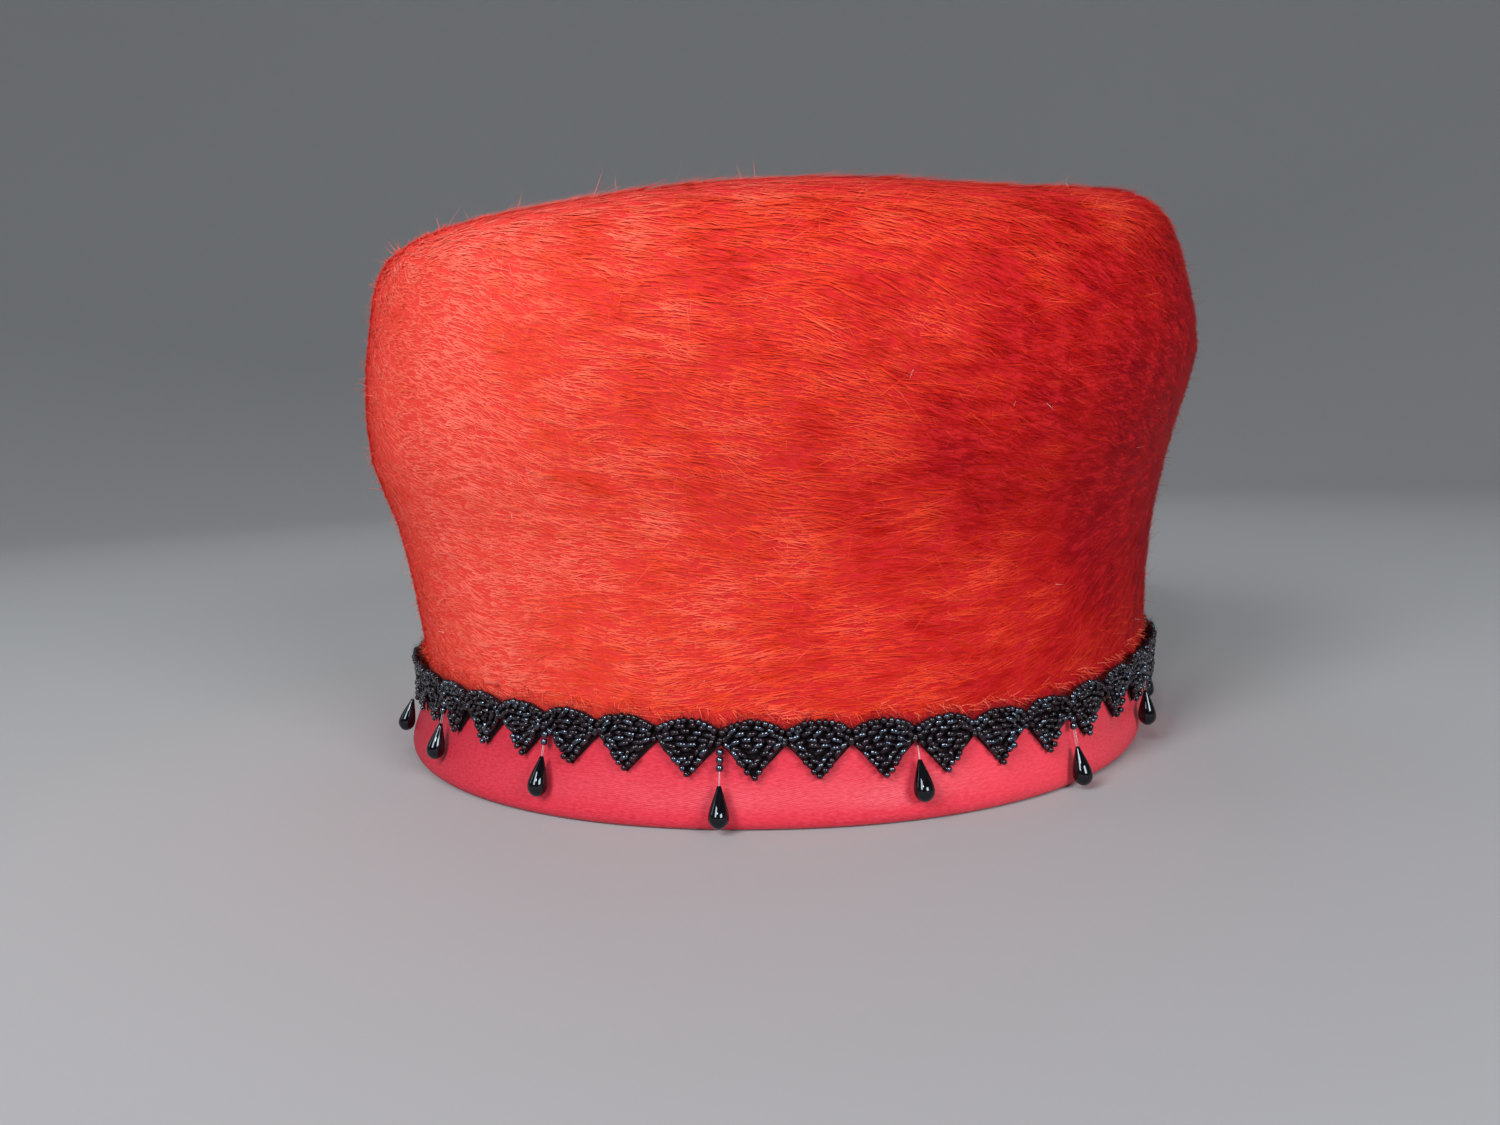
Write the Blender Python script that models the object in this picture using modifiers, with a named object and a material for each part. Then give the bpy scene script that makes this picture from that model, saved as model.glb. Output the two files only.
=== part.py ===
"""A brimless hat of long-haired fur felt: a flared, slightly lopsided crown, a folded satin band
round the rim, a scalloped bead braid sewn over the join, and drop beads on short threads.

Frame: metres, +Z up, front towards -Y. The origin is on the plane that the rim rests on, under
the middle of the crown's box. A turn is an angle in degrees seen from above, from the front (0)
towards the hat's +X side (90).
"""

from math import atan2, cos, degrees, pi, radians, sin

import bmesh
import bpy
import numpy as np
from mathutils import Vector

MM = 0.001

# Driving dimensions
FELT_THICKNESS = 2.2 * MM
SATIN_THICKNESS = 1.0 * MM
GAP = 0.3 * MM
OVAL_POWER = 2.1

STATIONS = 64
RINGS_PER_ROW = 2

MOTIF_COUNT = 51
MOTIF_COLUMNS = 6
MOTIF_DEPTH = 11.2 * MM
MOTIF_VALLEY = 6.1 * MM
MOTIF_CUSP = 1.6 * MM
MOTIF_PHASE = -9.0 * MM
BRAID_TIP_HEIGHT = 9.7 * MM
BRAID_THICKNESS = 1.6 * MM

MOTIFS_PER_DROP = 3
DROP_FLOOR_CLEARANCE = 0.8 * MM
THREAD_RADIUS = 0.15 * MM
THREAD_BELOW_BRAID = 0.6 * MM
SEED_RADIUS = 0.75 * MM
SEED_HEIGHT = 1.2 * MM
BORE_RADIUS = 0.45 * MM
BORE_DEPTH = 2.0 * MM
THREAD_IN_BORE = 1.6 * MM
LEAN_STEP = 0.5

# Outer face of the felt, from the edge tucked into the band up to the middle of the tip (mm).
CROWN_ROWS = (
    # name       height   left  right  front   back
    ("tuck",        3.0,  88.5,  83.0,  99.5,  99.5),
    ("hem",        17.5,  88.2,  86.0,  99.0,  99.0),
    ("wall",       36.0,  90.0,  87.0, 101.0, 101.0),
    ("waist",      53.0,  93.0,  89.5, 104.0, 104.0),
    ("flare",      67.5,  97.5,  92.5, 109.0, 109.0),
    ("swell",      84.0,  97.5,  97.5, 112.0, 112.0),
    ("shoulder",   97.0,  95.5,  95.5, 111.0, 111.0),
    ("edge",      107.0,  93.5,  93.0, 106.5, 106.5),
    ("turn",      112.5,  88.0,  89.5,  98.0,  98.0),
    ("tip_rim",   115.0,  74.0,  77.5,  85.0,  85.0),
    ("tip",       117.0,  45.0,  43.0,  54.0,  54.0),
    ("centre",    117.5,   0.0,   0.0,   0.0,   0.0),
)

# Outer face of the folded satin, from its top edge, down over the puffed front, under the rim
# and up to the top edge of the leaf that is turned inside (mm).
BAND_ROWS = (
    # name          height   left  right  front   back
    ("top_edge",      16.5,  89.5,  87.2, 100.3, 100.3),
    ("upper",         12.0,  90.0,  86.6, 100.8, 100.8),
    ("middle",         8.0,  91.0,  86.2, 101.7, 101.7),
    ("puff",           4.0,  92.7,  85.8, 103.1, 103.1),
    ("fold",           1.8,  93.3,  85.3, 103.5, 103.5),
    ("under",          0.4,  92.6,  84.5, 102.7, 102.7),
    ("rest_outer",     0.0,  91.6,  83.5, 101.7, 101.7),
    ("rest_inner",     0.0,  88.0,  80.4,  98.1,  98.1),
    ("inner_fold",     0.6,  86.2,  79.5,  96.7,  96.7),
    ("inner_leaf",     3.0,  84.9,  79.3,  95.9,  95.9),
    ("inner_top",     18.0,  84.5,  82.2,  95.3,  95.3),
)

# How the crown's top edge and the sewn line of the braid rise and fall round the hat (mm).
ROUND_ROWS = (
    # turn   edge  braid
    (-90.0,  -2.0,   1.0),
    (-60.0,   0.0,   2.2),
    (-30.0,   0.0,   1.0),
    (0.0,     1.0,  -0.7),
    (30.0,    0.0,  -1.4),
    (55.0,    3.0,   1.8),
    (75.0,    1.0,   1.8),
    (90.0,    0.5,   1.2),
    (135.0,   0.0,   0.3),
    (180.0,  -1.0,   0.0),
    (225.0,  -1.5,   0.3),
)

# Soft hollows pressed into the crown's wall.
DENT_ROWS = (
    # name          turn  height mm  reach deg  reach mm  depth mm
    ("right_hollow", 40.0,     48.0,      24.0,     17.0,      2.2),
)

# One drop bead, from its drilled top down (mm).
DROP_ROWS = (
    # below top  radius
    (0.0,          0.75),
    (1.6,          0.95),
    (3.4,          1.45),
    (5.0,          1.85),
    (6.3,          1.70),
    (7.2,          1.05),
    (7.6,          0.00),
)
DROP_LENGTH = DROP_ROWS[-1][0] * MM

# The threads repeat in this order round the hat: the length from the braid to the drop's top,
# and the seed beads strung on it.
HANG_ROWS = (
    # name     length mm  seeds
    ("middle",       4.7,     1),
    ("long",         6.5,     2),
    ("short",        2.5,     0),
    ("beaded",       6.2,     2),
)

COLOURS = {
    # name      colour (linear)          roughness
    "felt":    ((0.70, 0.035, 0.020), 0.90),
    "satin":   ((0.62, 0.020, 0.045), 0.35),
    "jet":     ((0.012, 0.012, 0.016), 0.12),
    "thread":  ((0.75, 0.75, 0.75), 0.30),
}


def smooth_curve(keys, values, at):
    """Read a smooth curve through (keys, values) at the places `at` (Catmull-Rom slopes)."""
    keys = np.asarray(keys, float)
    values = np.asarray(values, float)
    slopes = np.gradient(values, keys, axis=0)
    span = np.clip(np.searchsorted(keys, at, side="right") - 1, 0, len(keys) - 2)
    width = keys[span + 1] - keys[span]
    t = (at - keys[span]) / width
    if values.ndim > 1:
        t = t[:, None]
        width = width[:, None]
    start = (1 + 2 * t) * (1 - t) ** 2 * values[span] + t * (1 - t) ** 2 * width * slopes[span]
    end = t * t * (3 - 2 * t) * values[span + 1] + t * t * (t - 1) * width * slopes[span + 1]
    return start + end


def round_value(turn, column):
    """Read one column of ROUND_ROWS at a turn, smoothly and without a seam."""
    turns = [row[0] for row in ROUND_ROWS]
    heights = [row[column] for row in ROUND_ROWS]
    keys = [turns[-1] - 360] + turns + [turns[0] + 360]
    values = [heights[-1]] + heights + [heights[0]]
    wrapped = (turn + 90.0) % 360.0 - 90.0
    return float(smooth_curve(keys, values, np.array([wrapped]))[0]) * MM


def ring_rows(rows, rings):
    """Turn a named table into `rings` smooth rows of height, left, right, front, back in metres."""
    table = np.array([row[1:] for row in rows]) * MM
    return smooth_curve(np.arange(len(rows)), table, np.linspace(0, len(rows) - 1, rings))


def oval_point(turn, row):
    """Place a point of a flattened oval whose four half-widths are given."""
    height, left, right, front, back = row
    sideways = sin(radians(turn))
    forwards = cos(radians(turn))
    exponent = 2 / OVAL_POWER
    x = (right if sideways > 0 else left) * abs(sideways) ** exponent
    y = (front if forwards > 0 else back) * abs(forwards) ** exponent
    return Vector((x if sideways > 0 else -x, -y if forwards > 0 else y, height))


def crown_point(turn, row):
    """Place a point of the felt's outer face, with the top edge's wave and the dents."""
    hem = CROWN_ROWS[1][1] * MM
    shoulder = CROWN_ROWS[7][1] * MM
    point = oval_point(turn, row)
    lift = max(0.0, min(1.0, (row[0] - hem) / (shoulder - hem))) ** 1.5
    spread = min(1.0, row[2] / (CROWN_ROWS[8][3] * MM)) ** 2
    point.z += lift * spread * round_value(turn, 1)
    for _name, dent_turn, height, reach, tall, depth in DENT_ROWS:
        away = ((turn - dent_turn + 180) % 360 - 180) / reach
        above = (row[0] / MM - height) / tall
        press = depth * MM * np.exp(-(away * away) - above * above)
        point -= Vector((point.x, point.y, 0)).normalized() * float(press)
    return point


def material(name):
    """Make the Principled material of one kind of stuff."""
    colour, roughness = COLOURS[name]
    made = bpy.data.materials.get(name) or bpy.data.materials.new(name)
    made.use_nodes = True
    surface = made.node_tree.nodes["Principled BSDF"]
    surface.inputs["Base Color"].default_value = (*colour, 1)
    surface.inputs["Roughness"].default_value = roughness
    surface.inputs["Metallic"].default_value = 0.0
    return made


def add_object(name, mesh, stuff, collection):
    """Add a mesh as a named object with its material."""
    made = bpy.data.objects.new(name, mesh)
    made.data.materials.append(material(stuff))
    collection.objects.link(made)
    return made


def lofted_ring(name, stations, rows, place):
    """Loft a sheet round the hat: one column of the grid per station, one line per row."""
    sheet = bmesh.new()
    bmesh.ops.create_grid(sheet, x_segments=stations, y_segments=len(rows) - 1, size=0.5)
    for corner in sheet.verts:
        turn = (corner.co.x + 0.5) * 360.0
        line = round((corner.co.y + 0.5) * (len(rows) - 1))
        corner.co = place(turn, rows[line])
    bmesh.ops.remove_doubles(sheet, verts=sheet.verts, dist=0.01 * MM)
    mesh = bpy.data.meshes.new(name)
    sheet.to_mesh(mesh)
    sheet.free()
    mesh.shade_smooth()
    return mesh


def give_thickness(made, thickness, offset):
    """Give an open sheet its thickness: offset -1 grows inwards, 1 outwards."""
    wall = made.modifiers.new("thickness", "SOLIDIFY")
    wall.thickness = thickness
    wall.offset = offset
    wall.use_even_offset = True
    return wall


def make_crown(collection):
    """The felt crown: side wall, turned top edge and tip in one shell, open below."""
    rows = ring_rows(CROWN_ROWS, (len(CROWN_ROWS) - 1) * RINGS_PER_ROW + 1)
    mesh = lofted_ring("crown", STATIONS, rows, crown_point)
    crown = add_object("crown", mesh, "felt", collection)
    give_thickness(crown, FELT_THICKNESS, -1)
    return crown


def make_band(collection):
    """The satin band: folded under the felt's edge, with a flat ring that the hat rests on."""
    rows = [np.array(row[1:]) * MM for row in BAND_ROWS]
    mesh = lofted_ring("satin_band", STATIONS, rows[::-1], oval_point)
    band = add_object("satin_band", mesh, "satin", collection)
    give_thickness(band, SATIN_THICKNESS, -1)
    return band


def seat_row(height):
    """Give the oval that the braid is sewn on at a height: the satin, or above it the felt."""
    over_felt = GAP + SATIN_THICKNESS
    band = [np.array(row[1:]) * MM for row in BAND_ROWS[3::-1]]
    felt = [np.array(row[1:]) * MM + np.array([0, *[over_felt] * 4]) for row in CROWN_ROWS[1:3]]
    table = np.array(band + felt)
    return np.array([np.interp(height, table[:, 0], column) for column in table.T])


def turns_along(distances):
    """Turn distances walked round the braid's line, from the front, into turns."""
    line = seat_row(BRAID_TIP_HEIGHT + MOTIF_VALLEY)
    turns = np.linspace(-180, 180, 2881)
    points = np.array([oval_point(turn, line)[:] for turn in turns])
    steps = np.linalg.norm(np.diff(points, axis=0), axis=1)
    walked = np.concatenate([[0.0], np.cumsum(steps)])
    length = walked[-1]
    walked -= np.interp(0.0, turns, walked)
    wrapped = (np.asarray(distances) - walked[0]) % length + walked[0]
    return np.interp(wrapped, walked, turns), length


def braid_edges(column):
    """Give the lower and upper edge of the braid above the motif tips, for a column number."""
    aside = abs(column / MOTIF_COLUMNS - round(column / MOTIF_COLUMNS)) * 2
    lower = MOTIF_VALLEY * aside
    upper = MOTIF_DEPTH - MOTIF_CUSP * aside ** 2.2
    return lower, upper


def outward_at(turn, row):
    """Give the level direction that points straight out of an oval at a turn."""
    along = oval_point(turn + 0.05, row) - oval_point(turn - 0.05, row)
    return Vector((along.y, -along.x, 0)).normalized()


def braid_point(turn, height, outset):
    """Place a point of the braid, `outset` in front of what the braid is sewn on."""
    row = seat_row(height)
    return oval_point(turn, row) + outward_at(turn, row) * outset


def make_braid(collection):
    """The bead braid as one paved strip: round heads above, pointed leaves below."""
    count = MOTIF_COUNT * MOTIF_COLUMNS
    pitch = turns_along([0.0])[1] / count
    turns, _length = turns_along(MOTIF_PHASE + pitch * np.arange(count))
    rows = [0.0, 0.5, 1.0]

    def place(turn, row):
        column = round(turn / 360.0 * count) % count
        lower, upper = braid_edges(column)
        base = BRAID_TIP_HEIGHT + round_value(turns[column], 2)
        height = base + lower + (upper - lower) * row
        return braid_point(turns[column], height, GAP)

    mesh = lofted_ring("bead_braid", count, rows, place)
    braid = add_object("bead_braid", mesh, "jet", collection)
    give_thickness(braid, BRAID_THICKNESS, 1)
    return braid


def turned(name, profile, steps, stuff, collection):
    """Turn a profile of (below top, radius) about the upright axis, top to bottom."""
    mesh = bpy.data.meshes.new(name)
    outline = bmesh.new()
    corners = [outline.verts.new((radius, 0, -below)) for below, radius in profile]
    for start, end in zip(corners, corners[1:]):
        outline.edges.new((start, end))
    outline.to_mesh(mesh)
    outline.free()
    made = add_object(name, mesh, stuff, collection)
    screw = made.modifiers.new("turn", "SCREW")
    screw.axis = "Z"
    screw.steps = steps
    screw.render_steps = steps
    screw.use_merge_vertices = True
    screw.merge_threshold = 0.01 * MM
    return made


def drop_profile():
    """The drop's outline: up the bore from its blind end, over the drilled top, down the outside."""
    outside = [(below * MM, radius * MM) for below, radius in DROP_ROWS]
    bore = [(BORE_DEPTH, 0.0), (BORE_DEPTH, BORE_RADIUS), (0.0, BORE_RADIUS)]
    return bore + outside


def thread_profile(length, seeds):
    """The thread's outline from the braid to inside the drop, with its seed beads."""
    outline = [(0.0, 0.0), (0.0, THREAD_RADIUS)]
    for number in range(seeds):
        top = THREAD_IN_BORE / 4 + number * (SEED_HEIGHT + GAP)
        outline += [
            (top, THREAD_RADIUS),
            (top + SEED_HEIGHT * 0.2, SEED_RADIUS),
            (top + SEED_HEIGHT * 0.8, SEED_RADIUS),
            (top + SEED_HEIGHT, THREAD_RADIUS),
        ]
    end = length + THREAD_IN_BORE
    return outline + [(end, THREAD_RADIUS), (end, 0.0)]


def drop_radius(below):
    """Give the drop's radius at a distance below its top."""
    return float(np.interp(below / MM, *zip(*DROP_ROWS))) * MM


def lean_of_drop(turn, top, hang):
    """Tip a hanging drop outwards from the satin, in small steps, until it just clears it."""
    for lean in np.arange(0.0, 40.0, LEAN_STEP):
        down = hang
        clear = True
        while clear and down < hang + DROP_LENGTH:
            out = sin(radians(lean)) * down
            height = top.z - cos(radians(lean)) * down
            skin = oval_point(turn, seat_row(max(height, BAND_ROWS[3][1] * MM)))
            skin_out = (skin - top).dot(outward_at(turn, seat_row(top.z)))
            clear = (out - skin_out) * cos(radians(lean)) > drop_radius(down - hang) + GAP
            down += 0.2 * MM
        if clear:
            return lean
    return LEAN_STEP


def hang_drops(collection):
    """Hang a drop bead on its thread below every third valley of the braid."""
    length = turns_along([0.0])[1]
    pitch = length / MOTIF_COUNT
    count = MOTIF_COUNT // MOTIFS_PER_DROP
    places = MOTIF_PHASE - pitch / 2 + pitch * MOTIFS_PER_DROP * (np.arange(count) - 1)
    for number, turn in enumerate(turns_along(places)[0]):
        _name, hang, seeds = HANG_ROWS[number % len(HANG_ROWS)]
        valley = BRAID_TIP_HEIGHT + round_value(turn, 2) + MOTIF_VALLEY
        height = valley - THREAD_BELOW_BRAID
        top = braid_point(turn, height, GAP + BRAID_THICKNESS / 2)
        hang = min(hang * MM, height - DROP_FLOOR_CLEARANCE - DROP_LENGTH)
        lean = lean_of_drop(turn, top, hang)
        outward = outward_at(turn, seat_row(height))
        spin = degrees(atan2(outward.y, outward.x))
        thread = turned(
            f"drop_thread_{number + 1:02d}", thread_profile(hang, seeds), 6, "thread", collection
        )
        drop = turned(f"drop_bead_{number + 1:02d}", drop_profile(), 10, "jet", collection)
        for made, below in ((thread, 0.0), (drop, hang)):
            made.rotation_euler = (0, radians(-lean), radians(spin))
            down = outward * sin(radians(lean)) - Vector((0, 0, cos(radians(lean))))
            made.location = top + down * below


def main():
    for old in list(bpy.data.objects):
        bpy.data.objects.remove(old)
    hat = bpy.data.collections.new("fur_hat")
    bpy.context.scene.collection.children.link(hat)
    make_crown(hat)
    make_band(hat)
    make_braid(hat)
    hang_drops(hat)


main()
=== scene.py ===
# %% [markdown]
# # A fur felt hat with a satin rim and a beaded braid
#
# The hat is a brimless toque, blocked from one long-haired fur felt hood. A satin
# strip is folded round its rim, a scalloped braid of black glass beads is sewn over
# the join, and glass drops hang from every third leaf of the braid.
#
# The solid shapes come ready made, as a fixed frame that is never moved. Everything
# built here is laid on that frame: the fur, the cloth, the beads and the thread.

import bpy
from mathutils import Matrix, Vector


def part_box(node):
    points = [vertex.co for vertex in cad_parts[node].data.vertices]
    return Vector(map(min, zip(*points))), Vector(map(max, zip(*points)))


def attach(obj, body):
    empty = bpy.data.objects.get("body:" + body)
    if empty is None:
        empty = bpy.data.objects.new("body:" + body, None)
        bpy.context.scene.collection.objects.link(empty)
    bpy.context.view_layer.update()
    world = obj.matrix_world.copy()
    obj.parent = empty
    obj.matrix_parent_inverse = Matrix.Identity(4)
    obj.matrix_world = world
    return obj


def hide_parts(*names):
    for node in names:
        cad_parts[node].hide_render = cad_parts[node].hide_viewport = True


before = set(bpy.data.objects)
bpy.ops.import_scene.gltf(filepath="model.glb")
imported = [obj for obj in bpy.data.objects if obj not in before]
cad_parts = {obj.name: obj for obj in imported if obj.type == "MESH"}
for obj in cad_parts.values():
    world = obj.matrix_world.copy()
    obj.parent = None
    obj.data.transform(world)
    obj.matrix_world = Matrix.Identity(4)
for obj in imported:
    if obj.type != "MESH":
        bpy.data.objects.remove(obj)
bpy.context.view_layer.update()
print("frame pieces:", len(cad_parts))

# %% [markdown]
# ## Tools that every step needs
#
# A mesh that came in as loose triangles is merged before it is copied, so that light
# runs smoothly across its edges. A finished piece stays at the origin with its place
# in its mesh, rides on the hat's one body, and hides the frame pieces it stands for.

# %% Helpers for meshes
from math import cos, pi, radians, sin, tau

import bmesh
import bpy
import numpy as np
from mathutils import Matrix, Quaternion, Vector
from mathutils.bvhtree import BVHTree
from mathutils.kdtree import KDTree

MM = 0.001
LOOSE_CORNERS = 0.005 * MM
ROUND_X, ROUND_Z = (1, 0, 0), (0, 0, 1)
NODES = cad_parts


def merged(node):
    """Copy a frame piece into a bmesh with its loose triangles joined."""
    shell = bmesh.new()
    shell.from_mesh(NODES[node].data)
    bmesh.ops.remove_doubles(shell, verts=shell.verts, dist=LOOSE_CORNERS)
    return shell


def to_mesh(shape, name):
    """Turn a bmesh into a smoothly shaded mesh and let the bmesh go."""
    mesh = bpy.data.meshes.new(name)
    shape.to_mesh(mesh)
    shape.free()
    mesh.shade_smooth()
    return mesh


def spun(outline, axis, steps, closed=False):
    """Spin an outline of (x, z) places right round an axis through the origin."""
    shape = bmesh.new()
    corners = [shape.verts.new((x, 0, z)) for x, z in outline]
    followers = corners[1:] + corners[:1] if closed else corners[1:]
    edges = [shape.edges.new(pair) for pair in zip(corners, followers)]
    bmesh.ops.spin(
        shape, geom=corners + edges, cent=(0, 0, 0), axis=axis, angle=tau, steps=steps,
        use_merge=True, use_duplicate=False,
    )
    bmesh.ops.remove_doubles(shape, verts=shape.verts, dist=0.0005)
    return shape


def corner_places(mesh):
    """Read where all the corners of a mesh are."""
    return np.array([corner.co[:] for corner in mesh.vertices])


def move_corners(mesh, places):
    """Put the corners of a mesh at new places."""
    mesh.vertices.foreach_set("co", places.astype(np.float32).ravel())


def store_value(mesh, label, numbers):
    """Give a mesh a value of its own at every corner, for its finish to read."""
    store = mesh.attributes.new(label, "FLOAT", "POINT")
    store.data.foreach_set("value", numbers.astype(np.float32).ravel())


print("helpers for meshes ready")


# %% Helpers for finished pieces
def to_scene(name, data):
    """Put a mesh, a lamp or a lens into the scene."""
    made = bpy.data.objects.new(name, data)
    bpy.context.scene.collection.objects.link(made)
    return made


def add_piece(name, mesh, finishes, stands_for=()):
    """Put a finished mesh into the scene as a piece of the hat."""
    piece = to_scene(name, mesh)
    mesh.materials.clear()
    for finish in finishes:
        mesh.materials.append(finish)
    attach(piece, "root")
    if stands_for:
        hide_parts(*stands_for)
    triangles = sum(len(face.vertices) - 2 for face in mesh.polygons)
    print(f"{name}: {triangles} triangles")
    return piece


print("helpers for pieces ready")

# %% [markdown]
# Fur, beads and thread ends are small shapes repeated thousands of times. One small
# template is modelled, and its copies are worked out together as arrays: every copy
# has its own place, its own three axes, and its own tone for the finish to read.

# %% A helper that lays many copies of one template
def template_of(shape):
    """Read a small bmesh as arrays, facing outwards: its corner places and its faces."""
    bmesh.ops.recalc_face_normals(shape, faces=shape.faces)
    shape.verts.index_update()
    places = np.array([corner.co[:] for corner in shape.verts])
    faces = [[corner.index for corner in face.verts] for face in shape.faces]
    shape.free()
    return places, faces


def lay_copies(name, template, origins, axes, values, normals=None, headings=None, smooth=True):
    """Join copies of a template into one mesh: axes is (count, 3, 3), one row per axis.

    Normals, where they are given, are one for each corner of each face of each copy,
    and headings one for each copy, for a gloss that is drawn out that way. Smooth is
    yes or no for the whole template, or for each of its faces.
    """
    places, faces = template
    origins, axes = np.array(origins), np.array(axes)
    count, size = len(origins), len(places)
    where = origins[:, None, :] + np.einsum("vk,nkj->nvj", places, axes)
    sides = np.array([len(face) for face in faces])
    loops = np.concatenate([np.array(face) for face in faces])
    mesh = bpy.data.meshes.new(name)
    mesh.vertices.add(count * size)
    move_corners(mesh, where)
    mesh.loops.add(count * len(loops))
    steps = np.arange(count)[:, None] * size
    mesh.loops.foreach_set("vertex_index", (loops[None, :] + steps).ravel().astype(np.int32))
    mesh.polygons.add(count * len(sides))
    starts = np.concatenate([[0], np.cumsum(sides)[:-1]])
    starts = (starts[None, :] + np.arange(count)[:, None] * len(loops)).ravel()
    mesh.polygons.foreach_set("loop_start", starts.astype(np.int32))
    mesh.update(calc_edges=True)
    if headings is not None:
        store = mesh.attributes.new("across", "FLOAT_VECTOR", "POINT")
        store.data.foreach_set("vector", np.repeat(headings, size, 0).astype(np.float32).ravel())
    for label, per_copy in values.items():
        store_value(mesh, label, per_copy if per_copy.ndim == 2 else np.repeat(per_copy, size))
    flags = np.broadcast_to(np.asarray(smooth, bool), len(sides))
    mesh.polygons.foreach_set("use_smooth", np.tile(flags, count))
    if normals is not None:
        mesh.edges.foreach_set("use_edge_sharp", np.ones(len(mesh.edges), bool))
        mesh.normals_split_custom_set(normals.reshape(-1, 3))
    return mesh


print("helper for copies ready")

# %% [markdown]
# ## Reading the frame
#
# Cloth and beads need to know where the hat's surface is at any turn and height. A
# ray sent inwards from outside finds it, with the direction that the surface faces.
# A turn is counted from the front, -Y, towards +X.

# %% Find the hat's surface
AXIS = Vector((-0.004, 0.0, 0.0))
OUTSIDE = 0.2


def tree_of(node):
    """Make a frame piece ready for rays to be cast at it."""
    shell = merged(node)
    tree = BVHTree.FromBMesh(shell)
    shell.free()
    return tree


surface_trees = [tree_of("crown"), tree_of("satin_band")]


def facing(turn):
    """Give the level direction away from the axis at a turn in radians."""
    return Vector((sin(turn), -cos(turn), 0.0))


def inward(turn, height):
    """A ray from outside at a turn and height, level towards the axis."""
    return AXIS + facing(turn) * OUTSIDE + Vector((0, 0, height)), -facing(turn)


def on_hat(turn, height):
    """Find the outermost surface at a turn and height: its place and its normal."""
    hits = [tree.ray_cast(*inward(turn, height)) for tree in surface_trees]
    place, normal, _face, _reach = min((hit for hit in hits if hit[0]), key=lambda hit: hit[3])
    return place, normal if normal.dot(facing(turn)) > 0 else -normal


print("front of the satin:", [round(c / MM, 1) for c in on_hat(0.0, 8 * MM)[0]])

# %% [markdown]
# The braid's scallops are read from the frame as well: the lowest and the highest
# point of the braid at every turn. The fur needs them, because it stops at the braid,
# and so do the beads.

# %% Find the scallops of the frame's braid
def turn_of(places):
    """The turn from the front of each place, in radians."""
    away = places - np.array(AXIS)
    return np.arctan2(away[:, 0], -away[:, 1])


LOW_REACH, HIGH_REACH, TIP_REACH = 0.0051, 0.0121, 0.05

braid_points = corner_places(NODES["bead_braid"].data)
braid_turns, braid_heights = np.round(turn_of(braid_points), 3), braid_points[:, 2]
columns = np.unique(braid_turns)
lowest = np.array([braid_heights[np.abs(braid_turns - turn) < LOW_REACH].min() for turn in columns])
highest = np.array([braid_heights[np.abs(braid_turns - turn) < HIGH_REACH].max() for turn in columns])
tip_turns, tip_heights = [], []
for turn, height in zip(columns, lowest):
    near = np.abs((columns - turn + pi) % tau - pi) < TIP_REACH
    if height <= lowest[near].min() + 1e-7 and (not tip_turns or turn - tip_turns[-1] > TIP_REACH):
        tip_turns.append(turn)
        tip_heights.append(height)
tip_turns, tip_heights = np.array(tip_turns), np.array(tip_heights)
print("scallops found:", len(tip_turns))
print("tips from", np.round(tip_heights.min() / MM, 1), "to", np.round(tip_heights.max() / MM, 1), "mm")

# %% The braid's upper edge and the bed of its beads
BRAID_DEEP = 1.75 * MM
EDGE_INSET = 0.4 * MM

braid_tree = tree_of("bead_braid")


def braid_edge(turns):
    """The height of the braid's upper edge at an array of turns."""
    return np.interp(turns, columns, highest, period=tau)


def on_bed(turn, height):
    """Find the bed that the beads lie on, a bead's depth behind the braid's front."""
    low, high = (np.interp(turn, columns, edge, period=tau) for edge in (lowest, highest))
    level = min(max(height, low + EDGE_INSET), high - EDGE_INSET)
    place, normal, _face, _reach = braid_tree.ray_cast(*inward(turn, level))
    if place is None:
        return on_hat(turn, height)
    reach = (place - AXIS).xy.length - BRAID_DEEP
    return AXIS + facing(turn) * reach + Vector((0, 0, height)), normal


print("upper edge from", np.round(highest.min() / MM, 1), "to", np.round(highest.max() / MM, 1), "mm")

# %% [markdown]
# ## Finishes
#
# Every finish is made of nodes. The helpers below build a material around one
# Principled shader: fixed numbers go straight onto the shader's own sockets, and only
# what changes over the surface is linked. Steps that many finishes take, such as a
# blend of two colours or a little relief, are helpers too.

# %% Helpers for node materials
def add_node(tree, kind, values=None, **settings):
    """Add a node, set its options and the values of its sockets."""
    node = tree.nodes.new(kind)
    for label, value in settings.items():
        setattr(node, label, value)
    for socket, value in (values or {}).items():
        if isinstance(value, bpy.types.NodeSocket):
            tree.links.new(value, node.inputs[socket])
        else:
            node.inputs[socket].default_value = value
    return node


def new_finish(name, **fixed):
    """Start a material with one Principled shader; underscores in labels are spaces."""
    finish = bpy.data.materials.new(name)
    finish.use_nodes = True
    shader = finish.node_tree.nodes["Principled BSDF"]
    for label, value in fixed.items():
        shader.inputs[label.replace("_", " ")].default_value = value
    return finish, finish.node_tree, shader


def feed(shader, label, value):
    """Link a value that changes over the surface to one of the shader's sockets."""
    shader.id_data.links.new(value, shader.inputs[label])


print("helpers for finishes ready")


# %% Helpers for patterns and colours
def own_value(tree, label):
    """Read a value that the piece itself carries."""
    return add_node(tree, "ShaderNodeAttribute", attribute_name=label).outputs["Fac"]


def own_place(tree):
    """Read each point's place on the piece."""
    return add_node(tree, "ShaderNodeTexCoord").outputs["Object"]


def stretched(tree, place, scale):
    """Stretch a pattern by scaling the places that it is laid on."""
    return add_node(tree, "ShaderNodeMapping", {"Vector": place, "Scale": scale}).outputs[0]


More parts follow.
